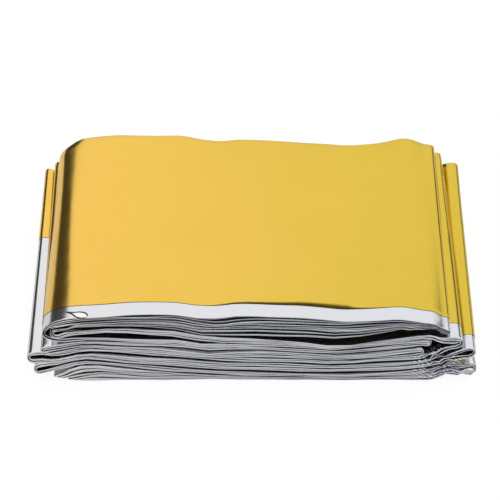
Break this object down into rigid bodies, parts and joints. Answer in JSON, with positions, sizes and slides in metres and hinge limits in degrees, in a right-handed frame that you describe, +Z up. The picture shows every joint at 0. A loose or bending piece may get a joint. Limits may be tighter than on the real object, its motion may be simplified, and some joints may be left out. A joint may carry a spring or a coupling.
{
  "type": "folded emergency foil blanket",
  "caption": "Emergency foil blanket of thin metallised film, gold on one side and silver on the other, folded into a flat rectangular packet with stepped folded edges.",
  "frame": {"origin": "centre of the packet's footprint, on the surface that it rests on", "axes": "+X to the right along the packet's length, +Y to the back along its depth, +Z up through its folded layers"},
  "size_m": [0.1506, 0.086, 0.0306],
  "materials": {
    "metallised_film": "glossy metallised film, gold on one side and silver on the other, lightly creased"
  },
  "bodies": {
    "root": {"foil_blanket": "metallised_film"}
  },
  "joints": []
}
